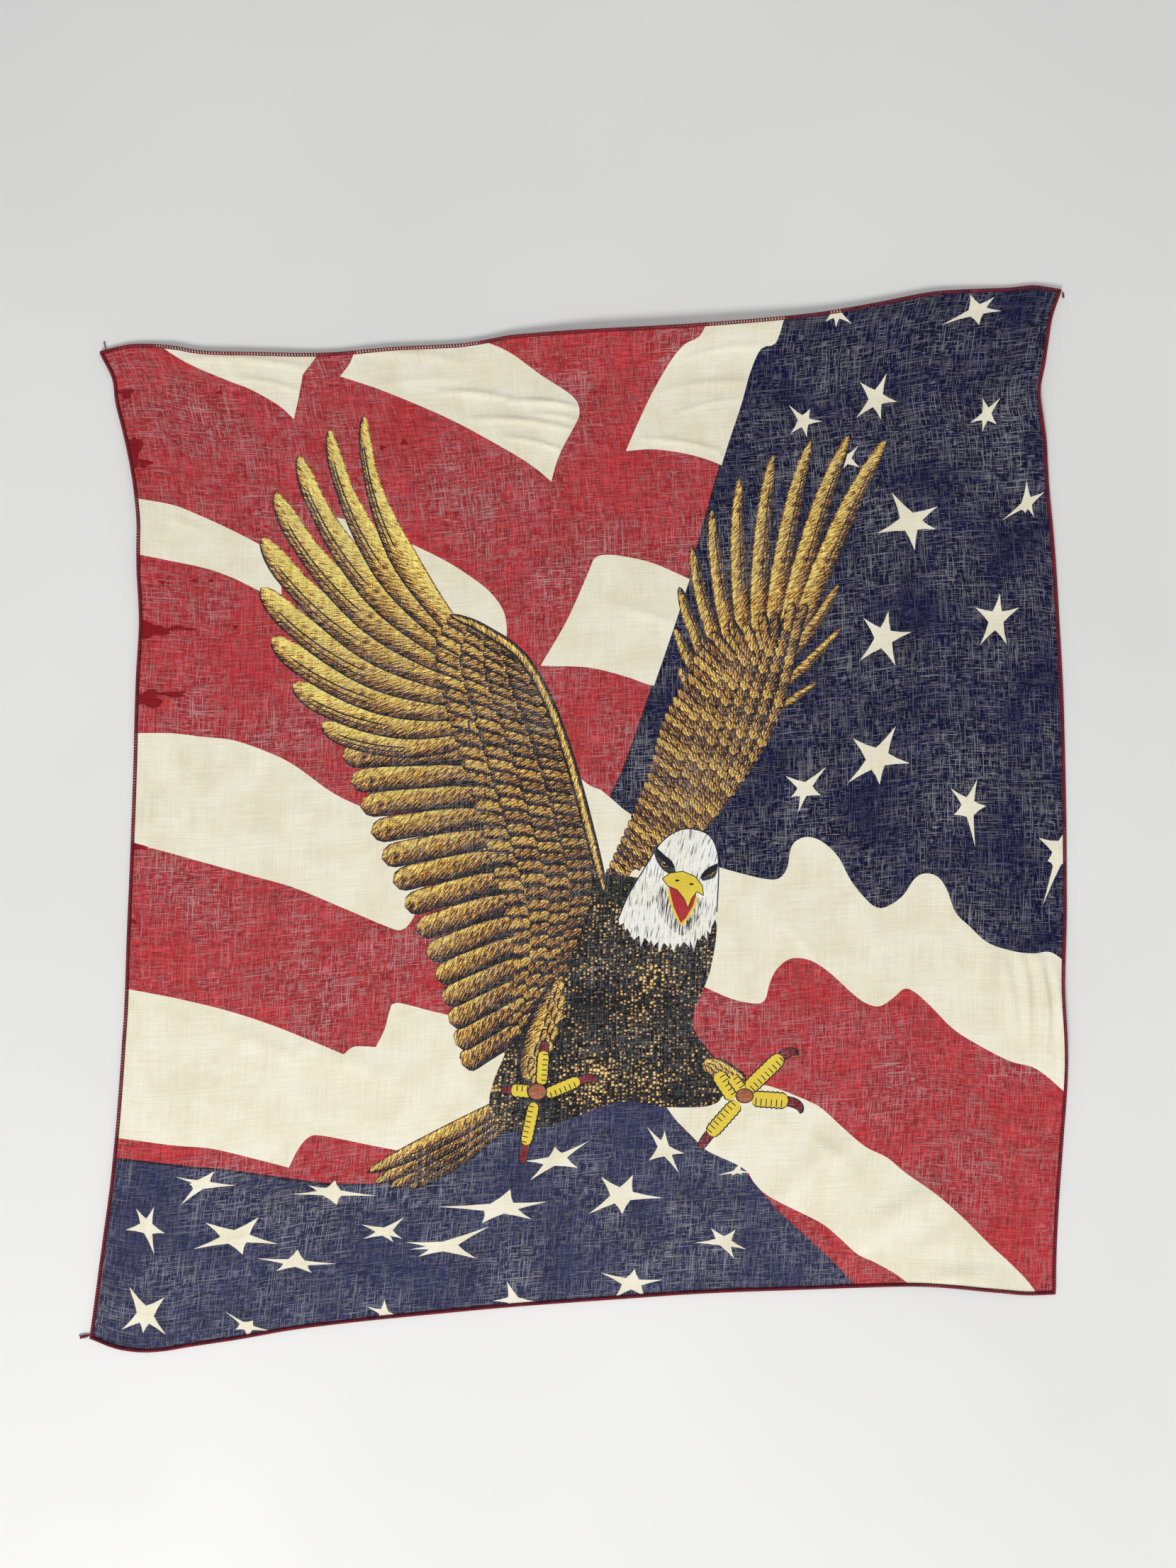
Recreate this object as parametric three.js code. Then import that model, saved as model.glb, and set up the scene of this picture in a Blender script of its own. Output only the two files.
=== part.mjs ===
import * as THREE from 'three';

// A square cotton bandana laid out flat, face down. Millimetres, +Z up, +Y towards the back edge.
// The cut is nominally 22 inches: 545 mm along the front and back, about 561 mm along the sides.
// It lies slightly sheared, so each edge is drawn as it lies and not as a straight line.

const clothThickness = 0.4;
const hemWidth = 2.0;
const hemHeight = 1.6;
const needleInset = 0.7;
const needleWidth = 0.4;
const needleHeight = 0.3;
const gap = 0.3;
const hemSides = 8;
const edgeSteps = 40;
const tailSteps = 6;

const cottonColour = 0xebe5d4;
const threadColour = 0x8e1626;

// Outer line of the hem, each edge from one corner to the next, anticlockwise seen from above.
const frontLeft = [-272, -292.5];
const frontRight = [272.3, -268.5];
const backRight = [276, 297.5];
const backLeft = [-267, 263];

const frontLine = [
  frontLeft, [-264, -297], [-248, -300.5], [-236, -301], [-212, -297.5], [-188, -294], [-158, -288.7],
  [-118, -283.7], [-58, -278], [22, -271.7], [82, -268], [152, -265.4], [203, -264], [222, -265.7],
  [243, -267.8], [262, -269.3], frontRight,
];
const rightLine = [
  frontRight, [274.2, -217.5], [276.2, -187.5], [278.2, -155], [278.4, -135], [276.8, -96], [278.4, -50],
  [278.5, 0], [276, 83], [271.4, 155], [268.5, 186.5], [266.3, 217], [263, 235.6], [263, 240.5],
  [264.6, 248.5], [268, 270], [271, 285], backRight,
];
const backLine = [
  backRight, [262.5, 300.3], [252.5, 299.3], [202.5, 296.1], [182.5, 292.1], [142.5, 284.5], [112.5, 280.7],
  [62.5, 276.5], [-17.5, 272.5], [-37.5, 271], [-57.5, 267.5], [-97.5, 265.1], [-137.5, 262], [-177.5, 262],
  [-207.5, 262.9], [-227.5, 266.1], [-247.5, 267.1], backLeft,
];
const leftLine = [
  backLeft, [-264.5, 256.5], [-260.3, 249], [-259, 238.5], [-252, 210.5], [-248, 190.5], [-245.3, 165.5],
  [-245.5, 145], [-244.2, 110.5], [-246, 80], [-250.7, -50], [-253.5, -119.5], [-259.7, -199.5],
  [-265.1, -239.5], frontLeft,
];

// How far the pieces along an edge stop short of its two corners.
const panelTrim = 3.2;
const throughHemTrim = 0.2;
const buttedHemTrim = 3.0;
const throughNeedleTrim = 4.0;
const buttedNeedleTrim = 5.5;

// Loose ends of the thread chain at three of the corners: route, width and height of each.
const tails = {
  front_left: { route: [[-272.7, -292.4], [-275.2, -292.1], [-278.4, -293.6]], width: 1.4, height: 1.0 },
  back_left: { route: [[-262.9, 265.0], [-263.2, 267.2], [-264.5, 269.1]], width: 0.7, height: 0.6 },
  back_right: { route: [[276.9, 296.8], [277.4, 295.2], [277.2, 293.4]], width: 0.8, height: 0.7 },
};

const cottonMaterial = new THREE.MeshStandardMaterial({ color: cottonColour, roughness: 0.95, metalness: 0 });

function curveThrough(points, height) {
  const vectors = points.map(([x, y]) => new THREE.Vector3(x, y, height));
  return new THREE.CatmullRomCurve3(vectors, false, 'centripetal');
}

// Points along an edge, moved inward by inset and stopping trim short of both corners.
function insetLine(line, inset, trim) {
  const edge = curveThrough(line, 0);
  const length = edge.getLength();
  const points = [];
  for (let step = 0; step <= edgeSteps; step += 1) {
    const share = (trim + (length - 2 * trim) * (step / edgeSteps)) / length;
    const point = edge.getPointAt(share);
    const tangent = edge.getTangentAt(share);
    points.push([point.x - tangent.y * inset, point.y + tangent.x * inset]);
  }
  return points;
}

// An even-sided section whose flats reach exactly half the height and half the width.
function section(width, height, sides) {
  const reach = 1 / Math.cos(Math.PI / sides);
  const shape = new THREE.Shape();
  for (let side = 0; side < sides; side += 1) {
    const angle = ((side + 0.5) * 2 * Math.PI) / sides;
    const up = Math.cos(angle) * reach * (height / 2);
    const across = Math.sin(angle) * reach * (width / 2);
    if (side === 0) shape.moveTo(up, across);
    else shape.lineTo(up, across);
  }
  shape.closePath();
  return shape;
}

function strand(name, points, middleHeight, profile, steps) {
  const geometry = new THREE.ExtrudeGeometry(profile, {
    extrudePath: curveThrough(points, middleHeight), steps, bevelEnabled: false,
  });
  const material = new THREE.MeshStandardMaterial({ color: threadColour, roughness: 0.8, metalness: 0 });
  const mesh = new THREE.Mesh(geometry, material);
  mesh.name = name;
  return mesh;
}

function cottonPanel() {
  const outline = [frontLine, rightLine, backLine, leftLine]
    .flatMap((line) => insetLine(line, hemWidth + gap, panelTrim));
  const shape = new THREE.Shape(outline.map(([x, y]) => new THREE.Vector2(x, y)));
  const geometry = new THREE.ExtrudeGeometry(shape, { depth: clothThickness, bevelEnabled: false });
  const mesh = new THREE.Mesh(geometry, cottonMaterial);
  mesh.name = 'cotton_panel';
  return mesh;
}

// The looper thread wrapped over the rolled edge, as one solid run along each side.
// The left and right runs reach the corners, and the front and back runs butt against them.
function overlockThread(side, line, trim) {
  const profile = section(hemWidth, hemHeight, hemSides);
  const points = insetLine(line, hemWidth / 2, trim);
  return strand(`overlock_thread_${side}`, points, hemHeight / 2, profile, edgeSteps);
}

// The needle thread that holds the loops down, lying on the cloth just inside the roll.
function needleThread(side, line, trim) {
  const profile = section(needleWidth, needleHeight, 4);
  const points = insetLine(line, hemWidth + gap + needleInset, trim);
  const middleHeight = clothThickness + gap + needleHeight / 2;
  return strand(`needle_thread_${side}`, points, middleHeight, profile, edgeSteps);
}

function threadTail(corner, tail) {
  const profile = section(tail.width, tail.height, 6);
  return strand(`thread_tail_${corner}`, tail.route, hemHeight / 2, profile, tailSteps);
}

const bandana = new THREE.Group();
bandana.add(cottonPanel());

bandana.add(overlockThread('front', frontLine, buttedHemTrim));
bandana.add(overlockThread('right', rightLine, throughHemTrim));
bandana.add(overlockThread('back', backLine, buttedHemTrim));
bandana.add(overlockThread('left', leftLine, throughHemTrim));

bandana.add(needleThread('front', frontLine, buttedNeedleTrim));
bandana.add(needleThread('right', rightLine, throughNeedleTrim));
bandana.add(needleThread('back', backLine, buttedNeedleTrim));
bandana.add(needleThread('left', leftLine, throughNeedleTrim));

for (const [corner, tail] of Object.entries(tails)) bandana.add(threadTail(corner, tail));

// The origin is the middle of the whole outline, on the surface that the cloth lies on.
const box = new THREE.Box3().setFromObject(bandana);
const middle = box.getCenter(new THREE.Vector3());
bandana.position.set(-middle.x, -middle.y, -box.min.z);

export default bandana;
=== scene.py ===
import bpy
import math
import numpy as np
from mathutils.geometry import delaunay_2d_cdt
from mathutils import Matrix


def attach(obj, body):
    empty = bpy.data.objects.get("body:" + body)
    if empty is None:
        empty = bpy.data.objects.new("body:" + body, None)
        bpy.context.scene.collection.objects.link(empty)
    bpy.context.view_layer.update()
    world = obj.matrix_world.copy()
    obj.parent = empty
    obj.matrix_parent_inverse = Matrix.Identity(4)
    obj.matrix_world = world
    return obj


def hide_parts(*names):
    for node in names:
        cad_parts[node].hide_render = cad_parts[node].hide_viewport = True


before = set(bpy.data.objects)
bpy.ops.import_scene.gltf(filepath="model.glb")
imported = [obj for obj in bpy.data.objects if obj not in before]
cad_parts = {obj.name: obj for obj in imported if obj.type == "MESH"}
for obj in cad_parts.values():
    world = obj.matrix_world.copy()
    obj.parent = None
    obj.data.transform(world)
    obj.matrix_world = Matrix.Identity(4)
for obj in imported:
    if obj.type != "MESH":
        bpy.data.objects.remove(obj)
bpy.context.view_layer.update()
print("frame loaded with", len(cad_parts), "nodes")

# the camera looks straight down; places and height in metres
camera = {"over": (0.0087, 0.0194), "height": 0.689, "lens": 28}
cameraData = bpy.data.cameras.new("overhead")
cameraData.lens = camera["lens"]
cameraData.sensor_width = 36
cameraData.clip_start = 0.01
overhead = bpy.data.objects.new("overhead", cameraData)
overhead.location = (*camera["over"], camera["height"])
bpy.context.scene.collection.objects.link(overhead)
bpy.context.scene.camera = overhead
print("camera placed")

# Below, places on the cloth are in millimetres from the middle of the laid-out square, x right, y back.


def linear(hexColour):
    # sRGB to linear light: v / 12.92 in the darks, else ((v + 0.055) / 1.055) ** 2.4
    channels = [int(hexColour[i:i + 2], 16) / 255 for i in (1, 3, 5)]
    return [v / 12.92 if v <= 0.04045 else ((v + 0.055) / 1.055) ** 2.4 for v in channels] + [1.0]


def addNode(tree, kind, settings=None, links=None):
    # one node: settings are its inputs' values, its own properties or a ramp's stops, and links go to its
    # inputs from a socket or from a node's first output
    made = tree.nodes.new("ShaderNode" + kind)
    for name, value in (settings or {}).items():
        if name == "stops":
            elements = made.color_ramp.elements
            while len(elements) < len(value):
                elements.new(1.0)
            for element, (position, colour) in zip(elements, value):
                element.position = position
                element.color = linear(colour)
        elif isinstance(name, int) or name in made.inputs:
            made.inputs[name].default_value = value
        else:
            setattr(made, name, value)
    for name, source in (links or {}).items():
        tree.links.new(source.outputs[0] if hasattr(source, "outputs") else source, made.inputs[name])
    return made


def emptyMaterial(name):
    # a new material without nodes, and its node tree
    material = bpy.data.materials.new(name)
    material.use_nodes = True
    material.node_tree.nodes.clear()
    return material, material.node_tree


def smoothRun(points, spacing=3.0):
    # Catmull-Rom between b and c: (2b + (c - a)t + (2a - 5b + 4c - d)t^2 + (3b - a - 3c + d)t^3) / 2
    p = np.array(points, float)
    p = np.vstack([2 * p[0] - p[1], p, 2 * p[-1] - p[-2]])
    pieces = []
    for a, b, c, d in zip(p, p[1:], p[2:], p[3:]):
        count = max(1, int(np.ceil(np.linalg.norm(c - b) / spacing)))
        t = (np.arange(count) / count)[:, None]
        pieces.append((2 * b + (c - a) * t + (2 * a - 5 * b + 4 * c - d) * t**2 + (3 * b - a - 3 * c + d)
                       * t**3) / 2)
    return np.vstack(pieces + [p[-2:-1]])


def fullRuns(runs):
    # each run with its start, which is where the run before it ends
    return [before[-1:] + run for before, run in zip(runs[-1:] + runs[:-1], runs)]


def roundedOutline(runs):
    # smooth runs that meet in sharp corners; a run of one point is a straight edge to it
    return np.vstack([smoothRun(run)[:-1] for run in fullRuns(runs)])


def insideOutline(points, outline):
    # even-odd rule: a point is inside when a ray to the right crosses the outline an odd number of times
    inside = np.zeros(len(points), bool)
    low, high = outline.min(0), outline.max(0)
    near = np.flatnonzero(((points >= low) & (points <= high)).all(1))
    if len(near) == 0:
        return inside
    x, y = points[near, 0][:, None], points[near, 1][:, None]
    x0, y0 = outline[:, 0], outline[:, 1]
    x1, y1 = np.roll(x0, -1), np.roll(y0, -1)
    rise = np.where(y1 == y0, 1e-9, y1 - y0)
    crosses = ((y0 <= y) != (y1 <= y)) & (x < x0 + (y - y0) * (x1 - x0) / rise)
    inside[near] = crosses.sum(1) % 2 == 1
    return inside


def tangents(points):
    # unit direction at each point of an open line, from its two neighbours
    step = np.gradient(points, axis=0)
    return step / np.maximum(np.linalg.norm(step, axis=1, keepdims=True), 1e-9)


def leftOf(way):
    # each direction turned a quarter to the left
    return np.stack([-way[:, 1], way[:, 0]], 1)


def reachAlong(points):
    # each point's distance along the line
    return np.concatenate([[0], np.cumsum(np.linalg.norm(np.diff(points, axis=0), axis=1))])


def resampled(points, spacing):
    # the same open line with even steps of about the spacing
    reach = reachAlong(points)
    stations = np.linspace(0, reach[-1], max(2, int(round(reach[-1] / spacing)) + 1))
    return np.stack([np.interp(stations, reach, points[:, k]) for k in range(points.shape[1])], 1)


# the cut square and its rolled edge
cloth = {
    "flat": (0.545, 0.561),    # metres, as cut
    "thickness": 0.22,
    "foldOut": 1.2,            # from the CAD panel's edge out to the fold
    "rollRadius": 0.5,
    "rolledIn": 2.8,           # width of cloth taken up in the roll
    "rollRings": 8,
    "fill": 4.2,               # spacing of the free points inside
    "cornerTurn": 25,          # degrees
    "bakeMargin": 0.0075,      # empty border round the OFBake layout, as a share of it
}


def panelSides():
    # the CAD panel's outline as four smooth lines, anticlockwise from the front one, meeting in the corners
    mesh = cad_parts["cotton_panel"].data
    xyz = np.empty(len(mesh.vertices) * 3, np.float32)
    mesh.vertices.foreach_get("co", xyz)
    xy = np.unique(np.round(xyz.reshape(-1, 3)[:, :2] * 1000, 2), axis=0)
    xy = xy[np.argsort(np.arctan2(xy[:, 1], xy[:, 0]))]
    ahead = np.roll(xy, -1, 0) - xy
    heading = np.arctan2(ahead[:, 1], ahead[:, 0])
    turn = np.degrees((heading - np.roll(heading, 1) + np.pi) % (2 * np.pi) - np.pi)
    bends = np.flatnonzero(np.abs(turn) > cloth["cornerTurn"])
    xy = np.roll(xy, -bends[1], 0)
    starts = [0] + [int(b - bends[1]) for b in bends[3::2]]
    ends = [int(b - bends[1]) for b in bends[2::2]] + [len(xy) - 1]
    sides = [xy[a:b + 1] for a, b in zip(starts, ends)]
    corners = []
    for side, following in zip(sides, sides[1:] + sides[:1]):
        d, e = side[-1] - side[-2], following[0] - following[1]
        gap = following[0] - side[-1]
        corners.append(side[-1] + d * (gap[0] * e[1] - gap[1] * e[0]) / (d[0] * e[1] - d[1] * e[0]))
    return [smoothRun(np.vstack([corners[k - 1], sides[k], corners[k]])) for k in range(4)]


def movedOut(loop, distance):
    # each point of a closed anticlockwise loop goes out along its mitre, distance / cos(half the turn)
    ahead = np.roll(loop, -1, 0) - loop
    ahead /= np.linalg.norm(ahead, axis=1, keepdims=True)
    outward = np.stack([ahead[:, 1], -ahead[:, 0]], 1)
    mitre = outward + np.roll(outward, 1, 0)
    mitre /= np.linalg.norm(mitre, axis=1, keepdims=True)
    reach = distance / np.maximum((mitre * outward).sum(1), 0.5)
    return loop + mitre * reach[:, None]


sides = panelSides()
sideLengths = [len(side) - 1 for side in sides]
foldLoop = movedOut(np.vstack([side[:-1] for side in sides]), cloth["foldOut"])
rawEdge = movedOut(foldLoop, cloth["rolledIn"])
sideStarts = np.concatenate([[0], np.cumsum(sideLengths)])
foldSides = [np.vstack([foldLoop, foldLoop[:1]])[sideStarts[k]:sideStarts[k + 1] + 1] for k in range(4)]
frontFold, rightFold, backFold, leftFold = foldSides
print("fold line with", len(foldLoop), "points")

# how the cloth lies: soft waves, lifted stretches of the edge, and creases
lie = {
    "rest": 0.35,
    "waves": [(150, 35, 0.5, 0.3), (118, 100, 0.45, 2.1), (84, -25, 0.3, 4.0), (61, 62, 0.22, 1.2),
              (190, 140, 0.5, 5.1)],
    # (x, y, how far along the edge, how far in, lift); one further back or front than this lies on that edge
    "backOrFront": 255,
    "lifts": [(55, 272, 120, 16, 5.4), (-200, 262, 60, 12, 1.6), (268, 250, 40, 16, 2.4),
              (276, -110, 60, 18, 1.6), (-247, 150, 70, 12, 1.2), (-262, -220, 60, 12, 0.9),
              (230, -268, 50, 12, 1.4), (-235, -298, 45, 12, 1.2)],
    "bow": 0.04,    # how far a crease bows, as a share of its length
    # (from x, y, to x, y, half width, height)
    "creases": [
        (-76, 240, -34, 236, 2.0, 1.3), (-36, 235, 6, 231, 1.8, 1.5), (-58, 225, 4, 218, 2.0, 1.4),
        (-38, 215, 0, 205, 1.7, 1.1), (-112, 243, -62, 247, 2.4, 0.6), (-20, 228, 4, 224, 1.5, 0.7),
        (-222, 258, -150, 253, 2.2, 1.0), (-190, 248, -152, 240, 1.8, 0.8), (-128, 262, -60, 256, 2.4, 0.7),
        (-236, 264, -160, 262, 1.8, 0.6), (38, 214, 88, 205, 1.8, 1.0), (50, 240, 100, 246, 2.2, 0.9),
        (62, 258, 112, 266, 2.0, 1.0), (58, 228, 96, 236, 1.6, 0.6),
        (262, -78, 266, -132, 2.6, 2.6), (252, -74, 256, -128, 2.6, 2.2), (271, -84, 273, -170, 2.0, 1.9),
        (243, -80, 248, -118, 3.0, 1.6),
        (160, -246, 206, -206, 7.0, 2.6), (118, -214, 152, -182, 6.5, 2.0), (188, -250, 218, -232, 5.0, 1.2),
        (128, -176, 160, -200, 4.0, 0.6), (196, -262, 236, -256, 4.0, 1.0), (96, -168, 122, -172, 4.0, 0.6),
        (240, 236, 180, 215, 5.0, 1.0), (262, 240, 205, 252, 4.0, 1.0), (200, 290, 240, 262, 5.0, 0.8),
        (-240, 44, -242, -10, 3.4, 1.4), (-225, 46, -222, -4, 3.0, 1.1), (-206, 40, -214, -18, 4.5, 1.1),
        (-255, -120, -230, -176, 4.0, 0.5), (-230, 170, -205, 160, 2.4, 0.5),
        (-262, -250, -210, -285, 4.0, 0.9), (232, -60, 236, -120, 5.0, 0.5),
        (120, -60, 136, -80, 4.0, 0.6), (90, -60, 92, -98, 3.0, 0.8), (-160, -130, -95, -150, 6.0, 0.8),
        (-200, -120, -150, -140, 4.0, 0.6), (22, 120, 60, 108, 3.0, 0.6), (250, 150, 272, 60, 6.0, 0.9),
        (225, 190, 258, 165, 4.0, 0.6), (40, -230, 120, -262, 5.0, 0.6),
    ],
}


def clothHeight(xy):
    # rest + sum of a(1 + sin(2 pi d / wavelength + phase)) + lifts exp(-(d/r)^2) + creases h exp(-(d/w)^2)
    x, y = xy[:, 0], xy[:, 1]
    z = np.full(len(xy), lie["rest"])
    for wavelength, heading, size, phase in lie["waves"]:
        along = x * math.cos(math.radians(heading)) + y * math.sin(math.radians(heading))
        z += size * (1 + np.sin(2 * np.pi * along / wavelength + phase)) / 2
    for cx, cy, alongReach, inReach, lift in lie["lifts"]:
        if abs(cy) > lie["backOrFront"]:
            along, inward = x - cx, y - np.interp(x, *edgeLine(cy))
        else:
            along, inward = y - cy, x - np.interp(y, *edgeLine(cx, True))
        z += lift * np.exp(-(along / alongReach) ** 2 - (inward / inReach) ** 2)
    for x0, y0, x1, y1, width, height in lie["creases"]:
        length = math.hypot(x1 - x0, y1 - y0)
        share = np.clip(((x - x0) * (x1 - x0) + (y - y0) * (y1 - y0)) / length**2, 0, 1)
        bow = lie["bow"] * length * np.sin(np.pi * share)
        away = np.hypot(x - x0 - share * (x1 - x0) - bow * (y0 - y1) / length,
                        y - y0 - share * (y1 - y0) - bow * (x1 - x0) / length)
        z += height * (0.35 + 0.65 * np.sin(np.pi * share)) * np.exp(-(away / width) ** 2)
    return z


def edgeLine(place, upright=False):
    # the fold of the side nearest to the place, sorted so that np.interp can read it
    side = (rightFold if place > 0 else leftFold) if upright else (backFold if place > 0 else frontFold)
    side = side[:, ::-1] if upright else side
    order = np.argsort(side[:, 0])
    return side[order, 0], side[order, 1]


def threadPlace(xy):
    # how far across and up the cut square a point was, as a share of the way between the facing edges
    x, y = xy[:, 0], xy[:, 1]
    front, back = (np.interp(x, *edgeLine(s)) for s in (-1, 1))
    left, right = (np.interp(y, *edgeLine(s, True)) for s in (-1, 1))
    return np.stack([(x - left) / (right - left), (y - front) / (back - front)], 1)


# the print, painted in order: a later shape covers an earlier one
inks = {
    "undyed": "#ECE6D1", "red": "#A62E33", "darkRed": "#84101B", "navy": "#080B33", "lighterNavy": "#2A2D4C",
    "overlap": "#231A2A", "outline": "#20242A", "plume": "#B98B35", "white": "#F1EFE8",
    "yellow": "#E1C84A", "mouth": "#AC2F38", "claw": "#74222A", "shade": "#2E3136", "skin": "#9C5A3C",
}
painted = []


def paint(outline, ink, dyed=0.0, feathered=0.0, speckled=0.0, gold=0.5, hackled=0.0,
          spine=None, half=None, lit=1, tipGold=0.0):
    # lay one shape on top of those before it: its ink, and how far each kind of drawing shows in it
    painted.append({
        "outline": np.array(outline, float), "ink": linear(inks[ink])[:3],
        "work": (dyed, feathered, speckled, gold), "hackled": hackled, "spine": spine, "half": half,
        "lit": lit, "tipGold": tipGold,
    })


undyedShapes = {
    "backLeftCorner": [
        [(-143, 265)], [(-145, 259), (-152, 250)], [(-154, 239), (-157, 225)],
        [(-166, 233), (-182, 242), (-195, 247), (-218, 257), (-238, 270)]],
    "backMiddle": [
        [(-125, 257), (-121, 268)], [(-60, 272)],
        [(-37, 263), (-18, 250), (0, 238), (4, 229), (1, 221), (-4, 212), (-9, 201), (-12, 190)],
        [(-23, 199), (-41, 210), (-71, 226), (-107, 241), (-131, 249)]],
    "leftUpper": [
        [(-227, 177), (-213, 172), (-191, 162), (-174, 153), (-165, 147)], [(-164, 123)],
        [(-174, 127), (-186, 133), (-195, 137), (-211, 142), (-252, 150)], [(-252, 181)]],
    "behindLeftWing": [
        [(-118, 166), (-98, 158), (-75, 147), (-60, 138), (-47, 128), (-39, 117), (-37, 105), (-39, 96)],
        [(-75, 113)], [(-123, 149)], [(-134, 170)]],
    "leftMiddle": [
        [(-227, 48), (-209, 46), (-191, 44), (-171, 37), (-157, 30), (-136, 15), (-120, 7), (-104, 1)],
        [(-84, 0)], [(-84, -40)],
        [(-87, -49), (-91, -58), (-97, -63), (-107, -60), (-128, -51), (-157, -39), (-182, -32),
         (-211, -24), (-229, -19), (-256, -12)], [(-256, 48)]],
    "leftLower": [
        [(-236, -99), (-221, -102), (-196, -108), (-171, -116), (-146, -126), (-129, -133)],
        [(-124, -129), (-118, -128.5), (-111, -129)],
        [(-106, -119), (-103, -108), (-99, -104), (-78, -109), (-60, -113)], [(-30, -140)],
        [(-60, -175), (-90, -189)], [(-111, -185), (-141, -179), (-149, -180), (-155, -187), (-160, -197)],
        [(-179, -192), (-204, -186), (-227, -184), (-270, -178)], [(-262, -94)]],
    "middle": [
        [(-3, 112), (9, 139), (12, 146), (17, 148.5), (27, 148), (45, 144), (66, 135)], [(56, 80)],
        [(46, 75), (30, 80), (9, 85), (-18, 86)]],
    "backRight": [
        [(122, 288)], [(100, 190)], [(84, 199), (70, 204), (55, 207), (43, 208), (30, 207)],
        [(36, 221), (45, 240), (55, 257), (63, 266), (71, 270), (76, 279)]],
    "betweenWings": [
        [(9, 19), (16, 16), (24, 10), (45, 0)], [(40, -45)], [(18, -45)], [(-4, 30)]],
    "rightUpper": [
        [(284, -20)], [(284, -158)],
        [(277, -154), (268, -146), (259, -140), (247, -137), (231, -129), (215, -119), (202, -106),
         (193, -98), (187, -96), (181, -101), (173, -106), (165, -104), (157, -98), (145, -87), (134, -80),
         (123, -79), (115, -85), (111, -93), (109, -101), (106, -104), (100, -104), (88, -101), (70, -93)],
         [(60, 5)]],
    "rightLower": [
        [(76, -140)], [(90, -147), (111, -151), (132, -159), (141, -164), (152, -174), (165, -185),
                       (177, -191), (188, -200), (204, -211), (220, -225), (235, -240), (248, -252),
                       (259, -264), (268, -280)], [(205, -282)],
                       [(194, -267), (184, -258), (170, -250), (160, -245), (150, -236), (140, -228),
                        (122, -219), (109, -212), (102, -205), (97, -198), (80, -191), (59, -171),
                        (45, -160)]],
}
navyShapes = {
    "upperRight": [
        [(119, 281), (114, 267), (106, 264), (100, 251), (95, 233), (84, 199), (66, 135), (46, 75),
         (30, 30), (21, 12)], [(29, 5), (36, 0), (60, -20), (81, -27), (95, -31), (108, -34), (116, -34),
                               (121, -28), (123, -17), (127, -12), (134, -10.5), (142, -14), (150, -22),
                               (157, -35), (165, -45), (171, -50), (177, -50), (186, -44), (193, -34),
                               (199, -31), (206, -33), (211, -40), (216, -53), (224, -61), (234, -70),
                               (247, -74.5), (259, -76), (268, -75), (275, -79), (290, -92)], [(292, 305)],
                               [(123, 292)]],
    "front": [
        [(-218, -197), (-196, -199), (-161, -204), (-136, -207), (-108, -207)], [(-60, -185)], [(0, -155)],
        [(51, -160)], [(59, -171), (68, -180), (75, -187), (92, -195), (97, -198)],
        [(102, -205), (116, -221), (131, -235), (148, -251), (170, -275)], [(-50, -300)], [(-240, -315)],
        [(-290, -300)], [(-275, -190)]],
}
# the five tips of each star, in order around it
stars = [
    [(224, 295), (238, 294), (242, 286), (229, 278), (208, 278)],
    [(177, 251), (183, 235), (174, 225), (160, 226), (162, 246)],
    [(231, 237), (241, 237), (239, 222), (231, 218), (224, 223)],
    [(134, 231), (141, 224), (132, 215), (123, 217), (122, 233)],
    [(180, 184), (206, 176), (205, 163), (193, 151), (172, 161)],
    [(256, 190), (266, 184), (260, 170), (255, 172), (242, 168)],
    [(178, 117), (191, 105), (182, 86), (162, 89), (164, 113)],
    [(241, 127), (252, 119), (245, 98), (230, 98), (227, 119)],
    [(182, 52), (190, 31), (173, 19), (155, 20), (158, 45)],
    [(143, 29), (140, 13), (127, 3), (123, 12), (120, 24)],
    [(228, 22), (233, 7), (227, -16), (215, 2), (213, 17)],
    [(285, 5), (290, -20), (265, -49), (268, -24), (263, -11)],
    [(161, 210), (162, 198), (150, 194), (147, 202), (152, 209)],
    [(152, 293), (157, 278), (148, 276), (142, 279), (141, 292)],
    [(42, -174), (52, -176), (63, -189), (60, -200), (43, -193)],
    [(34, -201), (51, -214), (28, -223), (9, -223), (16, -202)],
    [(78, -231), (92, -232), (98, -243), (91, -248), (69, -239)],
    [(-10, -185), (9, -182), (3, -197), (-24, -204), (-27, -193)],
    [(-224, -202), (-202, -199), (-190, -207), (-221, -218), (-216, -206)],
    [(-236, -219), (-230, -234), (-236, -246), (-252, -232), (-246, -220)],
    [(-207, -228), (-177, -225), (-166, -240), (-186, -246), (-214, -243)],
    [(-155, -243), (-133, -251), (-147, -256), (-167, -255), (-178, -248)],
    [(-94, -239), (-47, -230), (-54, -248), (-87, -247), (-92, -243)],
    [(-119, -229), (-95, -225), (-96, -237), (-101, -239), (-118, -237)],
    [(-35, -209), (-14, -216), (-23, -226), (-51, -228), (-76, -219)],
    [(-250, -264), (-230, -270), (-229, -291), (-242, -290), (-254, -288)],
    [(-196, -278), (-180, -283), (-169, -289), (-183, -293), (-190, -288)],
    [(-37, -261), (-18, -273), (-26, -280), (-38, -276), (-45, -272)],
    [(-134, -204), (-110, -213), (-133, -218), (-159, -212), (-149, -207)],
    [(35, -254), (51, -260), (41, -270), (24, -270), (16, -256)],
    [(95, -194), (101, -200), (96, -201), (90, -201.5), (81, -201.5)],
    [(-106, -271), (-96, -281), (-101, -285), (-110, -283), (-116, -275)],
]
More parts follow.
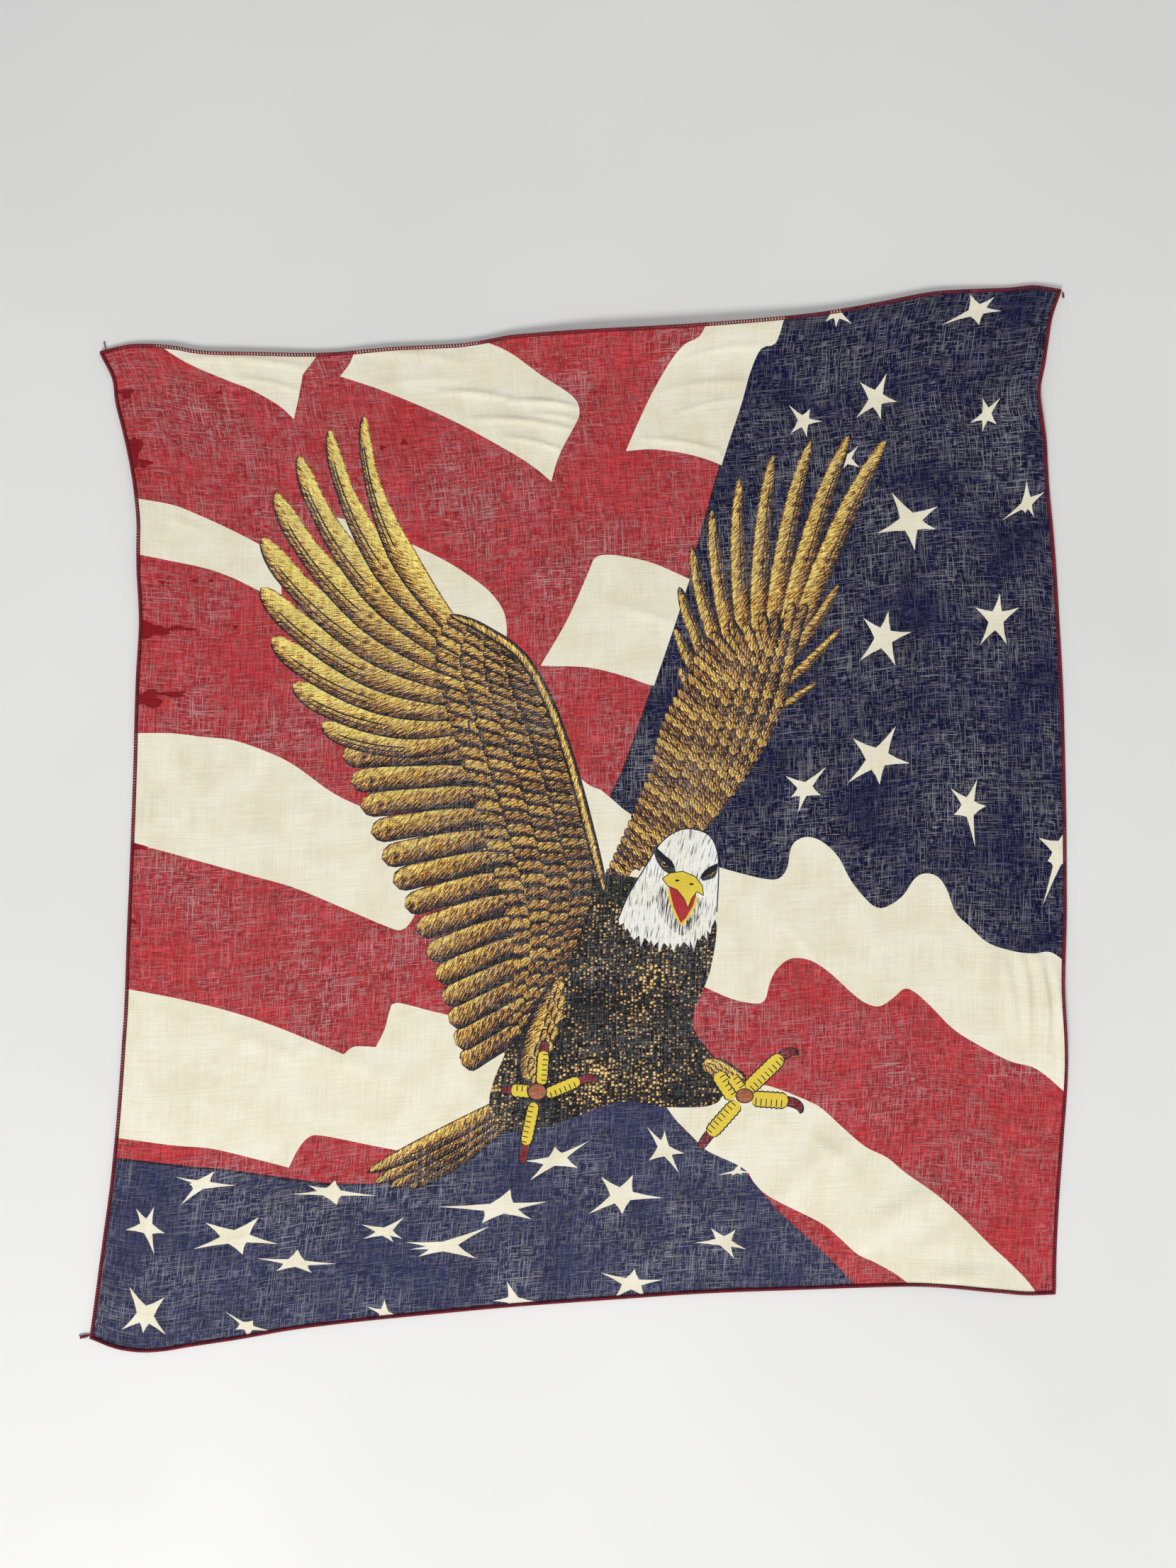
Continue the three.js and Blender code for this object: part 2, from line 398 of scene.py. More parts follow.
# deeper patches where the red dye ran: (x, y, half length, half height)
dyeRuns = [(-247, 207, 4, 9), (-241, 200, 3.5, 2.5), (-238, 106, 9, 4.5), (-222, 107, 9, 1.3),
           (-240, 67, 9, 4.5), (-226, 70, 9, 1.6), (-252, 240, 4, 3), (-106, 4, 5, 2.4),
           (-107, 209, 2.0, 1.2), (-95, 212, 1.8, 1.5), (-199, 240, 2, 1), (-213, 134, 2.2, 1.1),
           (-231, 133, 1.6, 1.2), (-190, 108, 1.6, 1.1), (-254, -16, 11, 3.5), (-249, -58, 3, 2),
           (-204, 134, 1.5, 1.0)]


# shares: a notch's place from the star's middle out to the middle of its two tips, a side's extra point from
# notch to tip, and how far that point is drawn in towards the arm's own axis
starShape = {"notch": 0.42, "along": 0.45, "hollow": 0.14}


def starOutline(tips):
    # between two tips a notch, drawn in to the middle; each arm's sides bend in towards its own axis
    notch, along, hollow = starShape.values()
    tips = np.array(tips, float)
    middle = tips.mean(0)
    notches = middle + notch * ((tips + np.roll(tips, -1, 0)) / 2 - middle)
    axis = middle + along * (tips - middle)
    before = (1 - hollow) * (along * tips + (1 - along) * np.roll(notches, 1, 0)) + hollow * axis
    after = (1 - hollow) * (along * tips + (1 - along) * notches) + hollow * axis
    return np.stack([before, tips, after, notches], 1).reshape(-1, 2)


def paintFlag():
    # red is the ground; a run of dye is an oval, its size times 1 + 0.28 sin(3a + k) + 0.16 sin(5a + 2k)
    for name, last in (("upperRight", 2), ("front", 4)):
        for run in fullRuns(navyShapes[name])[:last]:
            paintBand(smoothRun(run), 2.6, "overlap")
    for shape in undyedShapes.values():
        paint(roundedOutline(shape), "undyed")
    # the upper field in navy, the front field in a lighter navy
    for shape, ink in zip(navyShapes.values(), ("navy", "lighterNavy")):
        paint(roundedOutline(shape), ink, dyed=1.0)
    for tips in stars:
        paint(starOutline(tips), "undyed")
    angle = np.linspace(0, 2 * np.pi, 20, endpoint=False)
    for k, (x, y, length, height) in enumerate(dyeRuns):
        ragged = 1 + 0.28 * np.sin(3 * angle + k) + 0.16 * np.sin(5 * angle + 2 * k)
        edge = np.stack([x + length * ragged * np.cos(angle), y + height * ragged * np.sin(angle)], 1)
        paint(edge, "darkRed", dyed=0.12)


def paintFeather(root, tip, bend, width, gold, rootShare=0.6, tipStart=0.8, steps=12, ink="plume", lit=1,
                 shaft=0.0, tipShare=1.0, tipGold=0.0):
    # spine: (1 - t)^2 root + 2t(1 - t) pull + t^2 tip, where the pull point is given, or lies twice the bow
    # off the chord's middle; half width: eases out from the root share to full at 0.4 of the length, narrows
    # evenly to tipShare, and closes as a quarter ellipse from tipStart to the tip
    root, tip = np.array(root, float), np.array(tip, float)
    across = np.array([root[1] - tip[1], tip[0] - root[0]]) / np.linalg.norm(tip - root)
    pull = np.array(bend, float) if np.ndim(bend) else (root + tip) / 2 + across * 2 * bend
    t = 1 - (1 - np.linspace(0, 1, steps + 1)) ** 1.3
    spine = (1 - t)[:, None] ** 2 * root + (2 * t * (1 - t))[:, None] * pull + t[:, None] ** 2 * tip
    full = rootShare + (1 - rootShare) * np.sin(np.pi / 2 * np.clip(t / 0.4, 0, 1))
    full *= 1 - (1 - tipShare) * np.clip((t - 0.35) / 0.4, 0, 1)
    closing = np.sqrt(1 - np.clip((t - tipStart) / (1 - tipStart), 0, 1) ** 2)
    half = width / 2 * full * closing
    leftward = leftOf(tangents(spine))
    left, right = spine + leftward * half[:, None], spine - leftward * half[:, None]
    paint(np.vstack([left, right[-2::-1]]), ink, dyed=0.6, feathered=float(ink == "plume"), gold=gold,
          spine=spine, half=np.maximum(half, 0.05), lit=lit, tipGold=tipGold)
    if shaft:
        # two dark strokes beside the shaft, 0.22 and 0.55 of the half width to its shaded side
        side = leftward * (-lit * 0.22 * half)[:, None]
        reach = slice(int(steps * 0.30), int(steps * 0.88))
        paintBand((spine + side)[reach], shaft, "outline")
        paintBand((spine + 2.5 * side)[reach], shaft * 0.75, "outline")


leftWing = {
    # fans of feathers, as fan() and paintFan() read them
    "primaries": {
        "count": 9, "roots": [(-58, 46), (-66, 106)], "headings": (175, 113), "reach": (84, 62, 0.0, 0.72),
        "sweep": 18, "width": (16, 0, 5), "gold": (0.66, 0.1), "taper": (0.86, -0.36),
        "look": {"tipStart": 0.8, "steps": 20, "lit": -1, "shaft": 0.9, "tipGold": 0.22}},
    "secondaries": {
        "count": 14, "roots": [(-58, 36), (-42, -6), (-28, -60), (-30, -119)], "headings": (181, 212),
        "reach": (38, 34, 0.5, 1.0), "sweep": -3, "width": (14.4, -0.8, 0), "gold": (0.45, -0.15),
        "taper": (1, 0), "look": {"tipStart": 0.84, "steps": 11, "lit": -1, "tipGold": 0.2}},
    # short feathers over them in columns: where the first column starts, and where the last one ends
    "covertRoots": [(-30, 90), (-9, 42), (5, -4), (10, -46), (-12, -108)],
    "covertTips": [(-69, 115), (-77, 92), (-64, 38), (-46, -24), (-33, -74), (-36, -124)],
    "covertColumns": 4,
    "covertRows": 32,
    "covertWidth": 6.9,
    "covertLook": {"rootShare": 0.95, "tipStart": 0.86, "steps": 6, "lit": -1},
    "leadingEdge": [(-70, 115), (-50, 106), (-26, 87), (-5, 42), (18, -42)],
}


def between(line, share):
    # a place a share of the way along the smooth line through given points
    line = smoothRun(line) if len(line) > 2 else np.array(line, float)
    at = share * (len(line) - 1)
    return np.stack([np.interp(at, np.arange(len(line)), line[:, k]) for k in (0, 1)], -1)


def fan(spec):
    # feathers side by side: root on the roots' line, heading turning evenly, tip = root + reach (cos, sin)
    # with reach = least + rise sin(pi (early + (late - early) f)); pull point at 0.6 reach, turned by sweep
    least, rise, early, late = spec["reach"]
    feathers = []
    for share in np.linspace(0, 1, spec["count"]):
        root = between(spec["roots"], share)
        heading = math.radians(spec["headings"][0] + (spec["headings"][1] - spec["headings"][0]) * share)
        reach = least + rise * math.sin(math.pi * (early + (late - early) * share))
        turned = heading + math.radians(spec["sweep"])
        tip = root + reach * np.array([math.cos(heading), math.sin(heading)])
        pull = root + 0.6 * reach * np.array([math.cos(turned), math.sin(turned)])
        feathers.append((share, root, pull, tip))
    return feathers


def paintFan(spec, backwards=False):
    # a share f of the way along: width = base + rise f + bulge sin(pi f), gold and taper = base + rise f
    base, rise, bulge = spec["width"]
    for share, root, pull, tip in fan(spec)[::-1 if backwards else 1]:
        width = base + rise * share + bulge * math.sin(math.pi * share)
        gold, taper = (spec[name][0] + spec[name][1] * share for name in ("gold", "taper"))
        paintFeather(root, tip, pull, width, gold, tipShare=taper, **spec["look"])


def paintLeftWing():
    # the ground runs down the leading edge, and back up under the long feathers
    wing = leftWing
    inner = [root + 0.62 * (tip - root) for _, root, _, tip in fan(wing["secondaries"])[::-1]]
    outer = [root + 0.3 * (pull - root) for _, root, pull, _ in fan(wing["primaries"])]
    ground = np.vstack([smoothRun(wing["leadingEdge"], 8.0), wing["covertRoots"][-1:], inner, outer])
    paint(ground, "outline", dyed=0.6, speckled=1.0, gold=0.38)
    paintFan(wing["secondaries"], backwards=True)
    paintFan(wing["primaries"])
    rows, columns = wing["covertRows"], wing["covertColumns"]
    for column in reversed(range(columns)):
        for row in reversed(range(rows)):
            share = (row + 0.4 * (column % 2)) / (rows - 0.5)
            front, rear = between(wing["covertRoots"], share), between(wing["covertTips"], share)
            root = front + (rear - front) * (column - 0.05) / columns
            tip = front + (rear - front) * (column + 1.06) / columns
            gold = 0.20 + 0.08 * column + 0.10 * ((row * 7 + column * 3) % 3) - 0.10 * share
            paintFeather(root, tip, -0.5, wing["covertWidth"], gold, **wing["covertLook"])
    edge = smoothRun(wing["leadingEdge"])
    paintBand(edge + (0.6, 0), 6.4, "outline")
    paintBand(edge, 4.6, "plume", gold=0.66)


def paintBand(line, width, ink, gold=0.6):
    # a narrow strip of even width along a line, closing to a point at both ends
    t = np.linspace(0, 1, len(line))
    half = width / 2 * np.sqrt(np.clip(1 - (2 * t - 1) ** 8, 0, 1))
    side = leftOf(tangents(line)) * half[:, None]
    feathered = float(ink == "plume")
    paint(np.vstack([line + side, (line - side)[-2:0:-1]]), ink, dyed=0.6, feathered=feathered, gold=gold,
          spine=line if feathered else None, half=np.maximum(half, 0.05))


rightWing = {
    "primaries": {
        "count": 10, "roots": [(74, 66), (98, 82), (122, 90)], "headings": (126, 66),
        "reach": (24, 112, 0.0, 0.5), "sweep": 5, "width": (8, 5, 0), "gold": (0.42, 0.12),
        "taper": (0.85, 0), "look": {"tipStart": 0.55, "steps": 18, "shaft": 0.7, "tipGold": 0.2}},
    # three short feathers on the wrist
    "alula": {
        "count": 3, "roots": [(118, 84), (116, 62)], "headings": (56, 34), "reach": (26, 32, 0.5, 1.0),
        "sweep": -4, "width": (8, -2.5, 0), "gold": (0.42, 0.12), "taper": (0.85, 0),
        "look": {"tipStart": 0.55, "steps": 18, "shaft": 0.7, "tipGold": 0.2}},
    # the arm from the wrist down to the shoulder
    "leftEdge": [(84, 92), (60, 58), (46, 16), (22, -36)],
    "rightEdge": [(128, 112), (114, 58), (92, 20), (66, -12)],
    "rows": 29,
    "columns": 8,
    "armWidth": 6.8,
    "armLook": {"rootShare": 0.85, "tipStart": 0.55, "steps": 5},
}


def paintRightWing():
    # the arm's feathers lie in rows; heading = 150 - 70 over (1 - 0.4 share) - 12 (1 - share)^3 degrees
    wing = rightWing
    under = np.vstack([smoothRun(wing["leftEdge"], 8.0), smoothRun(wing["rightEdge"], 8.0)[::-1]])
    paint(under, "outline", dyed=0.6, speckled=1.0, gold=0.5)
    paintFan(wing["primaries"])
    paintFan(wing["alula"])
    for row in reversed(range(wing["rows"])):
        for column in range(wing["columns"]):
            share = min(1.0, (row + 0.5 * (column % 2)) / wing["rows"])
            left, right = between(wing["leftEdge"], share), between(wing["rightEdge"], share)
            over = column / (wing["columns"] - 1)
            middle = left + (right - left) * over
            heading = math.radians(150 - 70 * over * (1 - 0.4 * share) - 12 * (1 - share) ** 3)
            way = np.array([math.cos(heading), math.sin(heading)])
            reach = 5.5 + 3.5 * (1 - share) * (column < 3) + 8 * max(0, 0.16 - share) / 0.16
            gold = 0.12 + 0.1 * ((row * 2 + column * 3) % 5) + 0.06 * (1 - share)
            paintFeather(middle - way * 3.4, middle + way * reach, 0.5, wing["armWidth"], gold,
                         **wing["armLook"])


body = {
    "outline": [
        [(-6, -72), (-34, -124), (-47, -160), (-34, -177), (-6, -171), (26, -160), (56, -163), (82, -160),
         (84, -141), (68, -116), (78, -84), (80, -54), (60, -38)], [(19, -30)]],
    "tail": {
        "count": 4, "roots": [(-38, -172), (-34, -158)], "headings": (214, 207), "reach": (66, 26, 0.0, 0.5),
        "sweep": 3, "width": (10.5, 0, 0), "gold": (0.42, 0.06), "taper": (1, 0),
        "look": {"tipStart": 0.45, "steps": 12, "lit": -1, "shaft": 0.6}},
}


def paintBody():
    # the tail first, then the body over its roots
    paintFan(body["tail"])
    paint(roundedOutline(body["outline"]), "plume", dyed=0.6, speckled=1.0, gold=0.47)


head = {
    "crown": [(26, -57), (32, -43), (41, -28), (50, -14), (60, -7), (69, -6.5), (77, -10), (81, -18),
              (82, -30), (81, -52)],
    "hackleLine": [(81, -52), (80, -58), (74, -66), (64, -70), (54, -71), (44, -69), (34, -65), (26, -57)],
    "spine": [(66, -4), (60, -30), (54, -80)],
    "browLeft": [(46, -15), (50, -19), (56, -24), (58, -28), (54, -27), (49, -22)],
    "browRight": [(82, -25), (78, -27), (73, -31), (72, -34), (76, -32), (81, -29)],
    "sockets": [[(45, -16), (49, -18), (54, -23), (57.5, -28), (58, -31), (54, -31), (50, -28), (47, -23)],
                [(82, -26), (80, -26), (76, -28), (72.5, -32), (73, -35), (77, -34.5), (80, -33),
                 (81.5, -30)]],
    "eyes": [((52.2, -25.6), 1.7), ((77.2, -30.6), 1.5)],
    "upperBeak": [(51, -34), (55, -31), (62, -30), (69, -33), (73, -38), (73.5, -43), (70, -41), (67, -45),
                  (65, -50), (63, -45), (59, -40), (54, -38)],
    "mouth": [(54, -38), (59, -40), (63, -45), (65, -50), (67, -45), (70, -41), (68, -49), (64, -56),
              (61, -59), (57, -50)],
    "lowerBeak": [(53, -38), (55.5, -43), (58, -50), (61, -57), (65, -52), (71, -42), (69.5, -50),
                  (65, -57), (61.5, -61), (58, -56), (54.5, -47)],
    "cheekShade": [(50, -38), (47, -44), (49, -54), (56, -63), (62, -66), (68, -61), (73, -52), (73, -44),
                   (60, -50)],
}


def paintHead():
    # below the crown every second point goes down 3.4 + 1.8 sin(1.9 k) + 0.9 sin(0.7 k) mm, the others up 0.8
    spine = resampled(smoothRun(head["spine"]), 4.0)
    edge = resampled(smoothRun(head["hackleLine"]), 1.9)[1:-1]
    k = np.arange(len(edge))
    reach = np.where(k % 2, 3.4 + 1.8 * np.sin(1.9 * k) + 0.9 * np.sin(0.7 * k), -0.8)
    hackles = edge + np.stack([0.45 * np.cos(k), -np.ones(len(k))], 1) * reach[:, None]
    outline = np.vstack([smoothRun(head["crown"]), hackles])
    paint(movedOut(smoothRun(head["crown"])[::-1], 0.7)[::-1], "shade")
    half = np.full(len(spine), 30.0)
    cheek = smoothRun(head["cheekShade"] + head["cheekShade"][:1])[:-1]
    paint(outline, "white", hackled=1.0, spine=spine, half=half)
    paint(cheek, "white", hackled=1.0, gold=1.0, spine=spine, half=half)
    for socket in head["sockets"]:
        paint(smoothRun(socket + socket[:1], 2.0)[:-1], "shade", dyed=0.7)
    angle = np.linspace(0, 2 * np.pi, 12, endpoint=False)
    for (x, y), radius in head["eyes"]:
        ring = np.stack([np.cos(angle), 0.8 * np.sin(angle)], 1)
        paint(np.array([x, y]) + ring * (radius + 0.5), "plume", gold=0.6)
        paint(np.array([x, y]) + ring * radius, "outline")
        paint(np.array([x - 0.5, y + 0.5]) + ring * 0.45, "white")
    for brow in (head["browLeft"], head["browRight"]):
        paint(brow, "outline")
    paint(head["lowerBeak"], "yellow")
    paint(head["mouth"], "mouth", dyed=0.2)
    paint(movedOut(np.array(head["upperBeak"], float)[::-1], 0.5)[::-1], "outline")
    paint(head["upperBeak"], "yellow")
    for x, y in ((59, -35), (67, -37)):
        paint(np.array([x, y]) + np.stack([np.cos(angle) * 1.3, np.sin(angle) * 0.6], 1), "outline")


feet = {
    # shank: from, to, bow, width; ball of the foot: x, y, half length, half height; each toe: from, to,
    # width, and its claw's reach and bow
    "left": {"shank": [((-7, -92), (-26, -148), -3, 12.5)], "ball": (-20, -154, 5.0, 4.4),
             "toes": [((-17.5, -150), (-16.2, -131), 6.4, 6, 0), ((-23, -154), (-34.5, -153), 7.2, 6, 0.5),
                      ((-15, -155.5), (4, -147.5), 6.6, 12, -3.2),
                      ((-21.5, -160), (-26.6, -184), 6.4, 12, 0.6)]},
    "right": {"shank": [((74, -138), (96, -152), 1, 12)], "ball": (97, -156.5, 4.6, 3.8),
              "toes": [((91, -158), (81.5, -143.5), 8.0, 0, 0), ((96, -154), (89.5, -145.5), 6.4, 0, 0),
                       ((98.5, -153), (118, -134), 8.4, 11, -4.0),
                       ((101, -158), (121.5, -159.5), 8.6, 12, -4.2),
                       ((93.5, -160), (77, -178.5), 8.0, 11, 1.5)]},
}


def paintFeet():
    # a feathered shank, toes with a bar across each pad and a curved claw, and the ball of the foot
    angle = np.linspace(0, 2 * np.pi, 16, endpoint=False)
    shank = {"rootShare": 0.5, "tipStart": 0.8, "steps": 12}
    claw = {"rootShare": 1, "tipStart": 0.2, "steps": 9}
    for foot in feet.values():
        for start, end, bow, width in foot["shank"]:
            way = np.array(end, float) - start
            side = np.array([-way[1], way[0]]) / np.linalg.norm(way)
            paintFeather(start, end, bow, width + 2.0, 0.0, ink="outline", **shank)
            paintFeather(start, end, bow, width, 0.62, **shank)
            for k in reversed(range(18)):
                sideways = (k % 3 - 1) * 2.6 - bow * np.sin(np.pi * k / 18)
                at = np.array(start) + way * (0.02 + 0.05 * k) + side * sideways
                gold = 0.56 + 0.08 * (k % 3)
                paintFeather(at, at + way / np.linalg.norm(way) * 8, 0.6, 4.4, gold, tipStart=0.4, steps=6)
        for start, end, width, reach, bow in foot["toes"]:
            way = (np.array(end, float) - start) / np.linalg.norm(np.array(end, float) - start)
            if reach:
                side = np.array([way[1], -way[0]])
                root, pull = end - way * 3, end + way * reach * 0.75
                tip = end + way * reach * (1 - abs(bow) * 0.09) - side * bow * 1.6
                paintFeather(root, tip, pull, 6.0, 0.0, ink="outline", **claw)
                inTip, inPull = tip - way * 0.8 + side * bow * 0.2, end + way * reach * 0.74
                paintFeather(root, inTip, inPull, 4.2, 0.0, ink="claw", **claw)
            paint(toeOutline(start, end, width + 1.0), "outline")
            paint(toeOutline(start, end, width - 0.5), "yellow")
            length = np.linalg.norm(np.array(end, float) - start)
            for share in np.arange(2.6, length - 1.2, 2.9) / length:
                place = np.array(start) + (np.array(end, float) - start) * share
                side = np.array([-way[1], way[0]]) * width * 0.44
                paint(barOutline(place - side, place + side * 0.1, 0.6), "shade")
        x, y, long, high = foot["ball"]
        ring = np.stack([long * np.cos(angle), high * np.sin(angle)], 1)
        paint(ring * 1.14 + (x, y), "outline")
        paint(ring + (x, y), "skin", dyed=0.8)


def toeOutline(start, end, width):
    # a round-ended bar that swells at each of the toe's pads: half width (1 + 0.06 cos(2 pi d / 2.9))
    start, end = np.array(start, float), np.array(end, float)
    way = (end - start) / np.linalg.norm(end - start)
    side = np.array([-way[1], way[0]])
    length = np.linalg.norm(end - start)
    t = np.linspace(0, 1, int(length) + 8)
    half = (width / 2 * (1 + 0.06 * np.cos(2 * np.pi * length * t / 2.9))
            * np.sqrt(np.clip(1 - (2 * t - 1) ** 8, 0, 1)))
    line = start + (end - start) * t[:, None]
    return np.vstack([line + side * half[:, None], (line - side * half[:, None])[-2:0:-1]])


def barOutline(start, end, width):
    # a thin four-cornered stroke
    way = (end - start) / np.linalg.norm(end - start)
    side = np.array([-way[1], way[0]]) * width / 2
    return np.array([start + side, end + side, end - side, start - side])


paintFlag()
paintRightWing()
paintBody()
paintLeftWing()
paintHead()
paintFeet()
print("print laid out with", len(painted), "shapes")


def creasePoints(x0, y0, x1, y1, width, height):
    # extra mesh points along a crease and 1.7 widths to each side of it, on the same bowed line as its height
    length = math.hypot(x1 - x0, y1 - y0)
    share, side = np.meshgrid(np.linspace(-0.04, 1.04, int(length / 2.6) + 2), np.linspace(-1.7, 1.7, 8))
    away = side * width + lie["bow"] * length * np.sin(np.pi * np.clip(share, 0, 1))
    x = x0 + share * (x1 - x0) + away * (y0 - y1) / length
    y = y0 + share * (y1 - y0) + away * (x1 - x0) / length
    return np.stack([x, y], -1).reshape(-1, 2)


def meshThePrint():
    # a Delaunay mesh of free points that keeps every painted outline, the fold and the roll's rings as edges
    rings = [movedOut(foldLoop, cloth["rolledIn"] * k / cloth["rollRings"])
             for k in range(cloth["rollRings"] + 1)]
    loops = [shape["outline"] for shape in painted] + rings
    low, high = rawEdge.min(0), rawEdge.max(0)
    columns, rows = np.ceil((high - low) / cloth["fill"]).astype(int)
    gx, gy = np.meshgrid(np.arange(columns), np.arange(rows))
    free = np.stack([low[0] + (gx + 0.5 * (gy % 2)) * cloth["fill"],
                     low[1] + gy * cloth["fill"]], -1).reshape(-1, 2)
    free = np.vstack([free] + [creasePoints(*crease) for crease in lie["creases"]])
    free = free[insideOutline(free, movedOut(foldLoop, -1.0))]
    # a free point in the same 1.3 mm cell as a held one is left out; 100003 makes one number of a cell's two
    held = np.vstack(loops + [shape["spine"] for shape in painted if shape["spine"] is not None])
    cells = [np.round(part / 1.3).astype(int) @ (1, 100003) for part in (free, held)]
    free = free[~np.isin(*cells)]
    points, edges = [free], []
    count = len(free)
    for loop in loops:
        ids = np.arange(len(loop)) + count
        edges += np.stack([ids, np.roll(ids, -1)], 1).tolist()
        points.append(loop)
        count += len(loop)
    for shape in painted:
        if shape["spine"] is not None and shape["work"][1] > 0:
            points.append(shape["spine"][1:-1])
    flat = np.vstack(points)
    made = delaunay_2d_cdt([tuple(p) for p in flat], edges, [], 0, 0.04, False)
    xy = np.array([tuple(v) for v in made[0]])
    triangles = np.array(made[2])
    middles = xy[triangles].mean(1)
    kept = insideOutline(middles, rawEdge)
    return xy, triangles[kept], middles[kept]


flatXy, triangles, middles = meshThePrint()
print("cloth meshed:", len(flatXy), "points,", len(triangles), "triangles")


def paintTriangles():
    # every triangle takes the last shape painted over its middle; its corners take their place on that shape
    ink = np.tile(linear(inks["red"])[:3], (len(triangles), 1))
    work = np.tile([1.0, 0.0, 0.0, 0.5], (len(triangles), 3, 1))
    hackled = np.zeros(len(triangles))
    place = np.zeros((len(triangles), 3, 3))
    owner = np.full(len(triangles), -1)
    for k, shape in enumerate(painted):
        owner[insideOutline(middles, shape["outline"])] = k
    for k in np.unique(owner[owner >= 0]):
        shape, mine = painted[k], owner == k
        ink[mine] = shape["ink"]
        work[mine] = shape["work"]
        hackled[mine] = shape["hackled"]
        if shape["spine"] is not None:
            place[mine] = placeOnSpine(flatXy[triangles[mine]].reshape(-1, 2), shape).reshape(-1, 3, 3)
            length = np.linalg.norm(np.diff(shape["spine"], axis=0), axis=1).sum()
            work[mine, :, 3] += shape["tipGold"] * (place[mine][:, :, 0] / length - 0.5)
    return ink, work, hackled, place


def placeOnSpine(points, shape):
    # from the nearest segment: distance along the spine, distance to its lit side, distance in from the edge
    spine, half = shape["spine"], shape["half"]
    step = np.diff(spine, axis=0)
    length = np.linalg.norm(step, axis=1)
    reach = np.concatenate([[0], np.cumsum(length)])
    away = points[:, None] - spine[:-1]
    t = np.clip((away * step).sum(-1) / length**2, 0, 1)
    off = away - t[..., None] * step
    best = np.argmin((off**2).sum(-1), 1)
    rows = np.arange(len(points))
    t, off = t[rows, best], off[rows, best]
    way = step[best] / length[best][:, None]
    signed = way[:, 0] * off[:, 1] - way[:, 1] * off[:, 0]
    away = np.linalg.norm(off, axis=1)
    width = half[best] + (half[best + 1] - half[best]) * t
    return np.stack([reach[best] + t * length[best], np.sign(signed) * away * shape["lit"],
                     np.maximum(width - away, 0)], 1)


def rolledPlaces(xy):
    # inside the fold: x, y, height; beyond it by s: fold + outward R sin(s / R), height + R (1 - cos(s / R))
    ends = np.roll(foldLoop, -1, 0)
    step = ends - foldLoop
    outside = np.flatnonzero(~insideOutline(xy, movedOut(foldLoop, -0.002)))
    away = xy[outside][:, None] - foldLoop
    t = np.clip((away * step).sum(-1) / (step**2).sum(-1), 0, 1)
    feet = foldLoop + t[..., None] * step
    gap = np.linalg.norm(xy[outside][:, None] - feet, axis=-1)
    best = gap.argmin(1)
    rows = np.arange(len(outside))
    foot, beyond = feet[rows, best], gap[rows, best]
    outward = (xy[outside] - foot) / np.maximum(beyond, 1e-6)[:, None]
    radius = cloth["rollRadius"]
    places = np.column_stack([xy, clothHeight(xy)])
    places[outside, :2] = foot + outward * (radius * np.sin(beyond / radius))[:, None]
    places[outside, 2] = clothHeight(foot) + radius * (1 - np.cos(beyond / radius))
    return places


def newMesh(name, vertices, faces, material, smooth=True):
    # a mesh object at the origin, from vertices in metres
    mesh = bpy.data.meshes.new(name)
    mesh.from_pydata(vertices.tolist(), [], faces)
    mesh.polygons.foreach_set("use_smooth", np.full(len(mesh.polygons), smooth))
    mesh.materials.append(material)
    piece = bpy.data.objects.new(name, mesh)
    bpy.context.scene.collection.objects.link(piece)
    return piece


